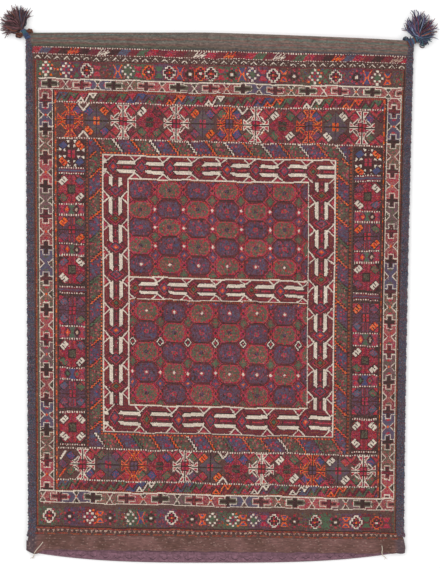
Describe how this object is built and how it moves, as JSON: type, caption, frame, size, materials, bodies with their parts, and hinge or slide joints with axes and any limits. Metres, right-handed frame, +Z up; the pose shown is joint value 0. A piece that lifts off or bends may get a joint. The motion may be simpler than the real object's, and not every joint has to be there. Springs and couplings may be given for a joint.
{
  "type": "kilim storage sack",
  "caption": "Flat-woven wool storage sack lying flat, patterned front, wrapped side seams, open mouth and a yarn tassel at each corner of the folded end.",
  "frame": {"origin": "middle of the sack's underside, on the surface it lies on", "axes": "+X across the sack, +Y from the open mouth to the folded end, +Z up out of the patterned front"},
  "size_m": [0.9687, 1.2286, 0.0243],
  "materials": {
    "kilim_wool": "weft-wrapped wool flat weave in madder red, blue, green, brown, orange and ivory",
    "binding_wool": "slate blue and purple wool yarn wrapped close over the edges",
    "tassel_brown_wool": "loose plied wool in brown and mauve",
    "tassel_blue_wool": "loose plied wool in navy, maroon and rust",
    "wrap_wool": "blue wool yarn wound round the tassel's neck",
    "stitch_wool": "dark wool sewing yarn",
    "tack_thread": "undyed cotton thread"
  },
  "bodies": {
    "root": {"kilim_cloth": "kilim_wool", "left_side_binding": "binding_wool", "right_side_binding": "binding_wool", "left_tassel_tuft": "tassel_brown_wool", "left_tassel_wrap": "wrap_wool", "right_tassel_tuft": "tassel_blue_wool", "right_tassel_wrap": "wrap_wool", "back_hem_stitching": "stitch_wool", "left_mouth_tack": "tack_thread", "right_mouth_tack": "tack_thread"}
  },
  "joints": []
}
